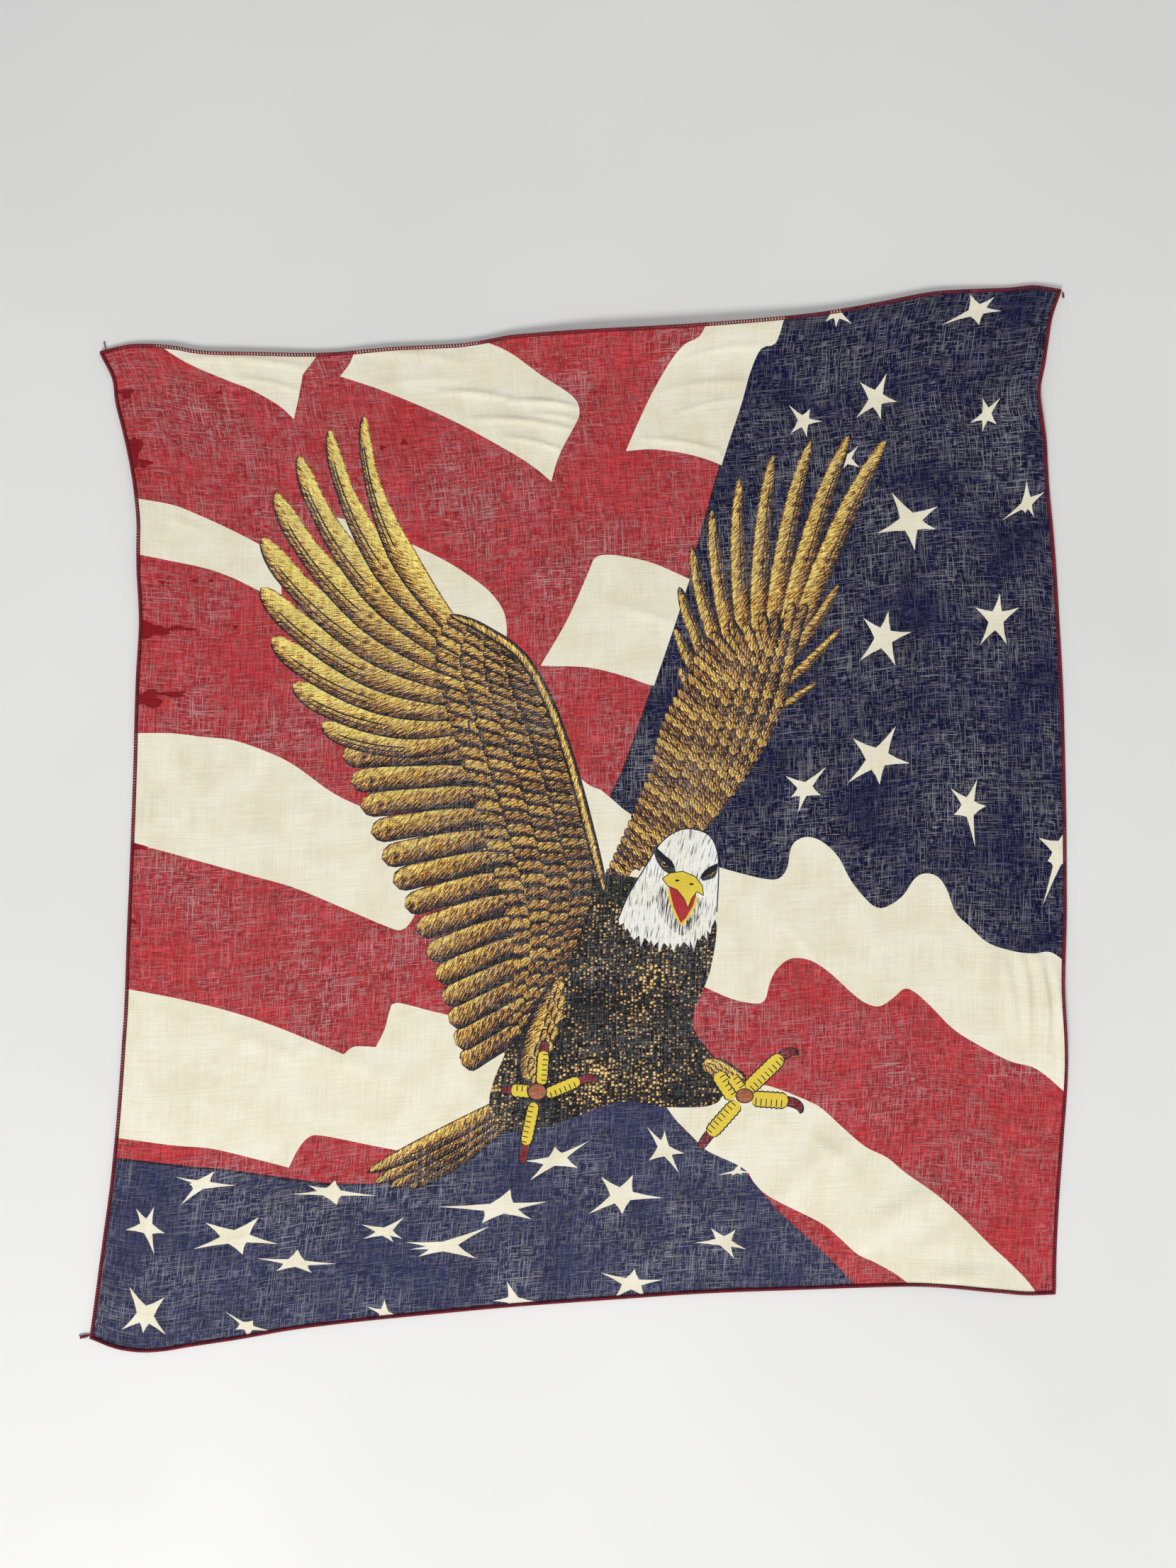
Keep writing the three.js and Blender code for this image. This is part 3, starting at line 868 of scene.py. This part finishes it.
def printedCottonLawn():
    # Plain-woven cotton lawn, rotary printed: matt and slightly sheer, with lighter slub threads showing
    # through the dye in both directions. The lawn's real threads are 0.35 mm apart, too fine to show, so the
    # weave is drawn at 0.8 mm.
    material, tree = emptyMaterial("printedCottonLawn")
    uv = addNode(tree, "UVMap", {"uv_map": "threads"})
    mm = addNode(tree, "Mapping", {"Scale": (1000, 1000, 1)}, {"Vector": uv})
    ink = addNode(tree, "Attribute", {"attribute_name": "ink"})
    work = addNode(tree, "Attribute", {"attribute_name": "inkWork"})
    dyed, feathered, speckled = addNode(tree, "SeparateColor", {}, {"Color": work}).outputs[:3]
    gold = work.outputs["Alpha"]
    hackled = addNode(tree, "Attribute", {"attribute_name": "hackled"}).outputs["Fac"]
    place = addNode(tree, "Attribute", {"attribute_name": "featherPlace"}).outputs["Vector"]
    across, edge = addNode(tree, "SeparateXYZ", {}, {"Vector": place}).outputs[1:3]
    flatNoise = {"noise_dimensions": "2D", "Scale": 1.0, "Detail": 1.0}

    # thread by thread the dye takes unevenly: long thin noise 0.45 mm wide along the weft and along the warp,
    # for how deep each thread is dyed, for short pale nubs, for a few long slubs that stay nearly undyed, and
    # for bands 2 mm wide. Each has its scale per mm across and along the thread, the noise's range, and what
    # that becomes
    threadLooks = {
        "depths": (2.3, 0.09, 0.30, 0.70, 0.66, 1.34),
        "nubs": (1.8, 0.15, 0.59, 0.73, 0.0, 1.0),
        "longSlubs": (1.7, 0.035, 0.655, 0.70, 0.0, 1.0),
        "bands": (0.55, 0.03, 0.30, 0.70, 0.88, 1.12),
    }
    threads = {name: [] for name in threadLooks}
    for name, (fine, long, low, high, least, most) in threadLooks.items():
        for scale in ((long, fine, 1), (fine, long, 1)):
            stretched = addNode(tree, "Mapping", {"Scale": scale}, {"Vector": mm})
            noise = addNode(tree, "TexNoise", {**flatNoise, "Roughness": 0.6}, {"Vector": stretched})
            span = {"From Min": low, "From Max": high, "To Min": least, "To Max": most}
            threads[name].append(addNode(tree, "MapRange", span, {"Value": noise}))
    pale, *others = threads["nubs"] + threads["longSlubs"]
    for other in others:
        pale = addNode(tree, "Math", {"operation": "MAXIMUM"}, {0: pale, 1: other})
    threadDepth, *others = threads["depths"] + threads["bands"]
    for other in others:
        threadDepth = addNode(tree, "Math", {"operation": "MULTIPLY"}, {0: threadDepth, 1: other})
    # broad clouds, some 45 mm across, make both stronger in places
    cloudy = addNode(tree, "TexNoise", {**flatNoise, "Scale": 0.022, "Detail": 3.0}, {"Vector": mm})
    span = {"From Min": 0.3, "From Max": 0.7}
    cloudShare = addNode(tree, "MapRange", {**span, "To Min": 0.25, "To Max": 0.95}, {"Value": cloudy})
    cloudDepth = addNode(tree, "MapRange", {**span, "To Min": 1.16, "To Max": 0.88}, {"Value": cloudy})
    slubAmount = addNode(tree, "Math", {"operation": "MULTIPLY"}, {0: pale, 1: cloudShare})
    slubDyed = addNode(tree, "Math", {"operation": "MULTIPLY"}, {0: slubAmount, 1: dyed})
    dyeDepth = addNode(tree, "Math", {"operation": "MULTIPLY"}, {0: threadDepth, 1: cloudDepth})

    # feathers: slanted barbs 0.6 mm apart over a fine stipple; gold on the lit side, brown on the other, and
    # dark within 1.1 mm of the edge
    absAcross = addNode(tree, "Math", {"operation": "ABSOLUTE"}, {0: across})
    halfWidth = addNode(tree, "Math", {"operation": "ADD"}, {0: absAcross, 1: edge})
    side = addNode(tree, "Math", {"operation": "DIVIDE"}, {0: across, 1: halfWidth})
    barbTurn = addNode(tree, "Mapping", {"Rotation": (0, 0, math.radians(-52))}, {"Vector": place})
    barbStretch = addNode(tree, "Mapping", {"Scale": (1.6, 0.2, 0)}, {"Vector": barbTurn})
    barbs = addNode(tree, "TexNoise", flatNoise, {"Vector": barbStretch})
    stipple = addNode(tree, "TexNoise", {**flatNoise, "Scale": 1.5, "Roughness": 0.6}, {"Vector": mm})
    span = {"From Min": -0.25, "From Max": -1.0, "To Min": -1.70, "To Max": -2.08}
    darkSide = addNode(tree, "MapRange", span, {"Value": side})
    span = {"From Min": 0.4, "From Max": 1.1, "To Min": -0.75, "To Max": 0.0}
    outlined = addNode(tree, "MapRange", span, {"Value": edge})
    tone = gold
    for share, source in ((0.34, side), (2.1, barbs), (1.4, stipple), (1.0, darkSide), (1.0, outlined)):
        tone = addNode(tree, "Math", {"operation": "MULTIPLY_ADD", 1: share}, {0: source, 2: tone})
    plumageStops = [(0.0, "#1A1E26"), (0.18, "#272426"), (0.31, "#6E3B2A"), (0.46, "#9C5A38"),
                    (0.60, "#BC8A42"), (0.75, "#D6B24E"), (0.95, "#EAD87A")]
    plumage = addNode(tree, "ValToRGB", {"stops": plumageStops}, {"Fac": tone})

    # body: short dark tips 2 mm apart, most of them with a gold or brown end
    tipPlace = addNode(tree, "Mapping", {"Scale": (0.46, 0.52, 1)}, {"Vector": mm})
    tipKind = {"voronoi_dimensions": "2D", "distance": "CHEBYCHEV", "Scale": 1.0, "Randomness": 0.75}
    tips = addNode(tree, "TexVoronoi", tipKind, {"Vector": tipPlace})
    tipTone = addNode(tree, "SeparateColor", {}, {"Color": tips.outputs["Color"]})
    patchy = addNode(tree, "TexNoise", {**flatNoise, "Scale": 0.035}, {"Vector": mm})
    tone = gold
    for share, source in ((0.75, tipTone), (0.9, patchy), (-1.7, tips.outputs["Distance"]), (0.6, stipple)):
        tone = addNode(tree, "Math", {"operation": "MULTIPLY_ADD", 1: share}, {0: source, 2: tone})
    speckle = addNode(tree, "MapRange", {"From Min": 0.95, "From Max": 1.72}, {"Value": tone})
    speckleStops = [(0.0, "#15181C"), (0.36, "#1F2226"), (0.5, "#6A4632"), (0.66, "#9A6C46"),
                    (0.84, "#C4A25A"), (1.0, "#EAD88C")]
    speckleInk = addNode(tree, "ValToRGB", {"stops": speckleStops}, {"Fac": speckle})

    # head: white with thin grey strokes that run down from the crown, deeper where gold is raised
    strokePlace = addNode(tree, "Mapping", {"Scale": (0.12, 1.3, 1)}, {"Vector": place})
    strokes = addNode(tree, "TexNoise", {**flatNoise, "Detail": 2.0}, {"Vector": strokePlace})
    strokeShift = addNode(tree, "Math", {"operation": "MULTIPLY_ADD", 1: -0.28}, {0: gold, 2: strokes})
    hackleStops = [(0.08, "#3A3D42"), (0.20, "#A8A6A2"), (0.29, "#F1EFE8")]
    hackle = addNode(tree, "ValToRGB", {"stops": hackleStops}, {"Fac": strokeShift})

    # mix them, each where its shapes are
    mixed = ink
    for factor, colour in ((feathered, plumage), (speckled, speckleInk), (hackled, hackle)):
        mixed = addNode(tree, "Mix", {"data_type": "RGBA"}, {0: factor, 6: mixed, 7: colour}).outputs[2]
    multiplied = {"data_type": "RGBA", "blend_type": "MULTIPLY"}
    deep = addNode(tree, "Mix", multiplied, {0: dyed, 6: mixed, 7: dyeDepth}).outputs[2]
    slub = addNode(tree, "Mix", {"data_type": "RGBA", 0: 0.33, 7: linear("#E4E2E4")}, {6: mixed}).outputs[2]
    colour = addNode(tree, "Mix", {"data_type": "RGBA"}, {0: slubDyed, 6: deep, 7: slub}).outputs[2]

    # the weave itself: crossed threads as a faint tone and a bump; over it, the slight soiling of handling
    weave = []
    for scale in ((0.035, 1.25, 1), (1.25, 0.035, 1)):
        lines = addNode(tree, "Mapping", {"Scale": scale}, {"Vector": mm})
        weave.append(addNode(tree, "TexNoise", {**flatNoise, "Roughness": 0.4}, {"Vector": lines}))
    woven = addNode(tree, "Math", {"operation": "ADD"}, {0: weave[0], 1: weave[1]})
    span = {"From Min": 0.7, "From Max": 1.3, "To Min": 0.95, "To Max": 1.04}
    wovenTone = addNode(tree, "MapRange", span, {"Value": woven})
    handled = addNode(tree, "TexNoise", {**flatNoise, "Scale": 0.045, "Detail": 4.0, "Roughness": 0.6},
                      {"Vector": mm})
    handledTone = addNode(tree, "ValToRGB", {"stops": [(0.32, "#F6F4EC"), (0.62, "#FFFFFF")]},
                          {"Fac": handled})
    for tone in (wovenTone, handledTone):
        colour = addNode(tree, "Mix", {**multiplied, 0: 1.0}, {6: colour, 7: tone}).outputs[2]
    raised = addNode(tree, "Math", {"operation": "ADD"}, {0: woven, 1: pale})
    bump = addNode(tree, "Bump", {"Strength": 0.35, "Distance": 0.0002}, {"Height": raised})
    finish = {"Roughness": 0.92, "Specular IOR Level": 0.12, "Sheen Weight": 0.03, "Sheen Roughness": 0.6}
    shader = addNode(tree, "BsdfPrincipled", finish, {"Base Color": colour, "Normal": bump})
    addNode(tree, "OutputMaterial", {}, {"Surface": shader})
    return material


def buildCloth():
    # the printed mesh laid in place, with each corner's thread place, ink and feather place, made thick
    places = rolledPlaces(flatXy)
    used = np.unique(triangles)
    fresh = np.full(len(flatXy), -1)
    fresh[used] = np.arange(len(used))
    piece = newMesh("printedCloth", places[used] / 1000, fresh[triangles].tolist(), printedCottonLawn())
    mesh = piece.data
    corners = triangles.reshape(-1)
    shares = threadPlace(flatXy)[corners]
    margin = cloth["bakeMargin"]
    for name, scale, shift in (("threads", cloth["flat"], 0), ("OFBake", 1 - 2 * margin, margin)):
        layer = mesh.uv_layers.new(name=name)
        layer.uv.foreach_set("vector", (shares * scale + shift).astype(np.float32).ravel())
    ink, work, hackled, place = paintTriangles()
    opaque = np.column_stack([ink, np.ones(len(ink))])
    for name, kind, key, values in (
            ("ink", "FLOAT_COLOR", "color", np.repeat(opaque, 3, 0)),
            ("inkWork", "FLOAT_COLOR", "color", work),
            ("hackled", "FLOAT", "value", np.repeat(hackled, 3)),
            ("featherPlace", "FLOAT_VECTOR", "vector", place)):
        layer = mesh.attributes.new(name, kind, "CORNER")
        layer.data.foreach_set(key, values.astype(np.float32).ravel())
    wall = piece.modifiers.new("thickness", "SOLIDIFY")
    wall.thickness = cloth["thickness"] / 1000
    wall.offset = 0
    return piece


printedCloth = buildCloth()
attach(printedCloth, "root")
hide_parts("cotton_panel")
print("cloth built")


def spunPolyester(name, colour):
    # Spun polyester sewing thread, dyed: a soft shine along the thread and a fine slanting twist, with
    # painted shade in the twist's grooves and a faint painted highlight on its ridges
    material, tree = emptyMaterial(name)
    uv = addNode(tree, "UVMap", {"uv_map": "ply"})
    bands = {"wave_type": "BANDS", "bands_direction": "DIAGONAL", "Scale": 1.0, "Distortion": 1.5}
    twist = addNode(tree, "TexWave", bands, {"Vector": uv}).outputs["Fac"]
    coords = addNode(tree, "TexCoord")
    mottle = addNode(tree, "TexNoise", {"Scale": 180.0, "Detail": 2.0}, {"Vector": coords.outputs["Object"]})
    ramp = addNode(tree, "ValToRGB", {"stops": [(0.3, colour["low"]), (0.7, colour["high"])]},
                   {"Fac": mottle})
    # painted shade and highlight: the colour is darkened to 0.8 in the twist's grooves and lightened to 1.08
    # on its ridges
    dark = addNode(tree, "MapRange", {"To Min": 0.8, "To Max": 1.08}, {"Value": twist})
    tinted = addNode(tree, "Mix", {"data_type": "RGBA", "blend_type": "MULTIPLY", 0: 1.0}, {6: ramp, 7: dark})
    bump = addNode(tree, "Bump", {"Strength": 0.4, "Distance": 0.00008}, {"Height": twist})
    finish = {"Roughness": 0.62, "Specular IOR Level": 0.3, "Sheen Weight": 0.05, "Sheen Roughness": 0.5}
    shader = addNode(tree, "BsdfPrincipled", finish, {"Base Color": tinted.outputs[2], "Normal": bump})
    addNode(tree, "OutputMaterial", {}, {"Surface": shader})
    return material


def tubeMesh(name, lines, widths, material):
    # a closed tube for each line: point + normal a cos(f) + cross b sin(f), with a cone point closing each
    # end. lines are (points, normals); widths are the half sizes along the normal and across it
    sections = 6
    vertices, faces, uvs, count = [], [], [], 0
    for points, normals in lines:
        way = tangents(points)
        normals = normals - way * (normals * way).sum(1, keepdims=True)
        normals /= np.linalg.norm(normals, axis=1, keepdims=True)
        cross = np.cross(way, normals)
        angle = np.arange(sections) * 2 * np.pi / sections
        ring = (points[:, None] + normals[:, None] * (widths[0] * np.cos(angle))[:, None]
                + cross[:, None] * (widths[1] * np.sin(angle))[:, None])
        n = len(points)
        i, j = np.meshgrid(np.arange(n - 1), np.arange(sections), indexing="ij")
        a = i * sections + j
        b = i * sections + (j + 1) % sections
        quads = np.stack([a, b, b + sections, a + sections], -1).reshape(-1, 4) + count
        vertices.append(ring.reshape(-1, 3))
        faces += quads.tolist()
        tips = count + n * sections
        vertices.append(np.array([points[0] - way[0] * widths[0], points[-1] + way[-1] * widths[0]]))
        faces += [[tips, count + (k + 1) % sections, count + k] for k in range(sections)]
        last = count + (n - 1) * sections
        faces += [[tips + 1, last + k, last + (k + 1) % sections] for k in range(sections)]
        reach = reachAlong(points)
        uvs.append(np.stack(np.broadcast_arrays(reach[:, None], np.arange(sections) / sections),
                            -1).reshape(-1, 2))
        uvs.append(np.array([[0, 0.5], [reach[-1], 0.5]]))
        count = tips + 2
    piece = newMesh(name, np.vstack(vertices) / 1000, faces, material)
    corner = np.empty(len(piece.data.loops), np.int32)
    piece.data.loops.foreach_get("vertex_index", corner)
    layer = piece.data.uv_layers.new(name="ply")
    layer.uv.foreach_set("vector", np.vstack(uvs)[corner].astype(np.float32).ravel())
    return piece


hem = {
    "pitch": 1.6,                # from one loop to the next
    "loopHalf": 0.12,            # the thread's half thickness; it is spread flat by its tension
    "loopSpread": {"front": 0.78, "right": 0.78, "back": 0.6, "left": 0.72},
    "stepsPerLoop": 14,
    "lean": 0.8,
    "edgeHalf": (0.14, 0.2),
    "stitchHalf": (0.12, 0.16),
    "needleIn": 0.95,            # from the fold in to the needle line
    "thread": {"low": "#5C0C1B", "high": "#86182A"},
}


def hemPath(side, inward, spacing):
    # a side's fold moved in, with the cloth's height, and its outward direction
    line = resampled(side, spacing)
    outward = -leftOf(tangents(line))
    moved = line - outward * inward
    return np.column_stack([moved, clothHeight(moved)]), np.column_stack([outward, np.zeros(len(line))])


def looperThread(side):
    # a helix round the roll: centre + outward r cos(2 pi s / pitch) + up r sin(2 pi s / pitch), slightly
    # uneven, each loop leaning along the edge by lean r cos(2 pi s / pitch)
    spacing = hem["pitch"] / hem["stepsPerLoop"]
    centre, outward = hemPath(side, 0, spacing)
    centre[:, 2] += cloth["rollRadius"]
    s = np.arange(len(centre)) * spacing
    turn = 2 * np.pi * s / hem["pitch"] + 0.35 * np.sin(s / 7.3) + 0.25 * np.sin(s / 3.1)
    r = cloth["rollRadius"] + cloth["thickness"] / 2 + hem["loopHalf"] + 0.03
    up = np.array([0, 0, 1.0])
    radial = outward * np.cos(turn)[:, None] + up * np.sin(turn)[:, None]
    along = np.column_stack([-outward[:, 1], outward[:, 0], np.zeros(len(outward))])
    wrap = centre + radial * r + along * (hem["lean"] * r * np.cos(turn))[:, None]
    wave = np.sin(2 * np.pi * s / hem["pitch"])
    chain = centre + outward * (r + 0.04) + up * (0.22 * wave - 0.1)[:, None]
    return (wrap, radial), (chain[::3], outward[::3])


def needleStitches(side):
    # stitches along the inner edge of the loops, rising out of the cloth and diving back once a pitch
    spacing = hem["pitch"] / 6
    line, outward = hemPath(side, hem["needleIn"], spacing)
    s = np.arange(len(line)) * spacing
    line[:, 2] += cloth["thickness"] / 2 + 0.26 * np.abs(np.sin(np.pi * s / hem["pitch"])) - 0.06
    up = np.tile([0, 0, 1.0], (len(line), 1))
    return line, up


threadMaterial = spunPolyester("spunPolyesterThread", hem["thread"])
hemPieces = []
for name, side in zip(("front", "right", "back", "left"), foldSides):
    wrap, chain = looperThread(side)
    looper = tubeMesh("looperThread_" + name, [wrap], (hem["loopHalf"], hem["loopSpread"][name]),
                      threadMaterial)
    edge = tubeMesh("edgeChain_" + name, [chain], hem["edgeHalf"], threadMaterial)
    edge.parent = looper
    needle = tubeMesh("needleStitches_" + name, [needleStitches(side)], hem["stitchHalf"], threadMaterial)
    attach(looper, "root")
    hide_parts("overlock_thread_" + name)
    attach(needle, "root")
    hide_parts("needle_thread_" + name)
    hemPieces += [looper, needle]
print("edge threads sewn")

# loose thread ends at three corners: start, end, how many, spread, half thickness
tails = {
    "front_left": {"start": (-272.5, -291.8), "end": (-278.6, -292.9), "count": 9, "spread": 2.2,
                   "half": 0.28},
    "back_left": {"start": (-263.2, 264.2), "end": (-264.6, 269.2), "count": 3, "spread": 0.8, "half": 0.16},
    "back_right": {"start": (276.3, 297.0), "end": (277.4, 293.6), "count": 5, "spread": 1.0, "half": 0.2},
}


def threadTail(name, tail):
    # fibres from start to end, each leaving the straight line by its own sine and ending a little apart
    rng = np.random.default_rng(sum(map(ord, name)))
    start, end = np.array(tail["start"]), np.array(tail["end"])
    side = np.array([start[1] - end[1], end[0] - start[0]]) / np.linalg.norm(end - start)
    t = np.linspace(0, 1, 12)
    lines = []
    for _ in range(tail["count"]):
        length, drift, bow = rng.uniform(0.7, 1.0), rng.uniform(-1, 1), rng.uniform(-0.5, 0.5)
        xy = start + (end - start) * (t * length)[:, None]
        xy = xy + side * (tail["spread"] / 2 * (drift * t**1.5 + bow * np.sin(np.pi * t)))[:, None]
        z = (0.75 + rng.uniform(0.2, 0.7) * np.sin(np.pi * t) * (1 - 0.4 * t) - 0.35 * t
             + rng.uniform(-0.15, 0.15))
        lines.append((np.column_stack([xy, z]), np.tile([0, 0, 1.0], (len(t), 1))))
    return tubeMesh("threadTail_" + name, lines, (tail["half"], tail["half"]), threadMaterial)


for name, tail in tails.items():
    piece = threadTail(name, tail)
    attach(piece, "root")
    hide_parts("thread_tail_" + name)
    hemPieces.append(piece)
print("thread tails placed")

stage = {"floorSize": 6.0, "floorDrop": 0.0001, "floorColour": "#E6E5E1"}


def paleVinylFloor():
    # pale matt vinyl: almost even, with a very soft cloudiness
    material, tree = emptyMaterial("paleVinyl")
    coords = addNode(tree, "TexCoord")
    cloudy = addNode(tree, "TexNoise", {"Scale": 3.0, "Detail": 3.0}, {"Vector": coords.outputs["Object"]})
    ramp = addNode(tree, "ValToRGB", {"stops": [(0.3, "#DEDDDC"), (0.7, stage["floorColour"])]},
                   {"Fac": cloudy})
    shader = addNode(tree, "BsdfPrincipled", {"Roughness": 0.6, "Specular IOR Level": 0.3},
                     {"Base Color": ramp})
    addNode(tree, "OutputMaterial", {}, {"Surface": shader})
    half = stage["floorSize"] / 2
    corners = np.array([(-half, -half), (half, -half), (half, half), (-half, half)])
    places = np.column_stack([corners, np.full(4, -stage["floorDrop"])])
    return newMesh("floor", places, [[0, 1, 2, 3]], material, smooth=False)


floor = paleVinylFloor()

lights = {
    "key": {"place": (-0.55, -1.7, 1.7), "size": 0.7, "power": 44},
    "fill": {"place": (1.2, 0.9, 2.2), "size": 2.4, "power": 11},
}
for name, spec in lights.items():
    data = bpy.data.lights.new(name, "AREA")
    data.size = spec["size"]
    data.energy = spec["power"]
    lamp = bpy.data.objects.new(name, data)
    lamp.location = spec["place"]
    lamp.rotation_euler = (-lamp.location).to_track_quat("-Z", "Y").to_euler()
    bpy.context.scene.collection.objects.link(lamp)
studio = {"colour": "#F2F4F7", "strength": 0.46}
world = bpy.data.worlds.new("softStudio")
world.use_nodes = True
background = world.node_tree.nodes["Background"]
background.inputs["Color"].default_value = linear(studio["colour"])
background.inputs["Strength"].default_value = studio["strength"]
bpy.context.scene.world = world
bpy.context.scene.view_settings.view_transform = "Standard"
print("stage and lights ready")
